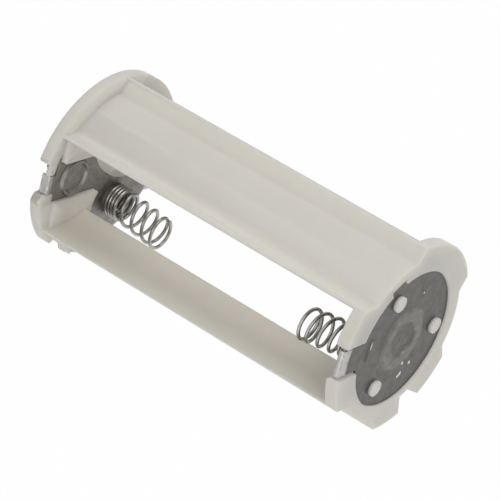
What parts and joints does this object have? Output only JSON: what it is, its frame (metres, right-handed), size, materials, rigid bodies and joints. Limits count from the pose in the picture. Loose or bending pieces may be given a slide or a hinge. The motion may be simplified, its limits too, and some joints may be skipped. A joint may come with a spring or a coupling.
{
  "type": "cylindrical cell holder",
  "caption": "Round moulded holder with open bays that carry cylindrical cells in series between sprung and dished sheet metal contacts, with contact discs at both ends.",
  "frame": {"origin": "centre of the lower end face", "axes": "+Z along the holder's axis from the lower end to the upper end; the front bay opens towards -Y"},
  "size_m": [0.032, 0.0319, 0.0622],
  "materials": {
    "plastic": "satin natural off-white",
    "contact_sheet": "dull nickel plate",
    "spring_wire": "bright nickel plate"
  },
  "bodies": {
    "holder": {"holder_body": "plastic", "upper_terminal": "contact_sheet", "upper_bridge": "contact_sheet", "lower_bridge": "contact_sheet", "lower_terminal": "contact_sheet"},
    "front_coil": {"spring_front": "spring_wire"},
    "right_coil": {"spring_right": "spring_wire"},
    "left_coil": {"spring_left": "spring_wire"}
  },
  "joints": [
    {"name": "front_press", "type": "slide", "parent": "holder", "child": "front_coil", "axis": [0, 0, 1], "range_m": [0, 0.005], "stiffness_N_per_m": 300, "deforming": ["spring_front"]},
    {"name": "right_press", "type": "slide", "parent": "holder", "child": "right_coil", "axis": [0, 0, -1], "range_m": [0, 0.005], "stiffness_N_per_m": 300, "deforming": ["spring_right"]},
    {"name": "left_press", "type": "slide", "parent": "holder", "child": "left_coil", "axis": [0, 0, 1], "range_m": [0, 0.005], "stiffness_N_per_m": 300, "deforming": ["spring_left"]}
  ]
}
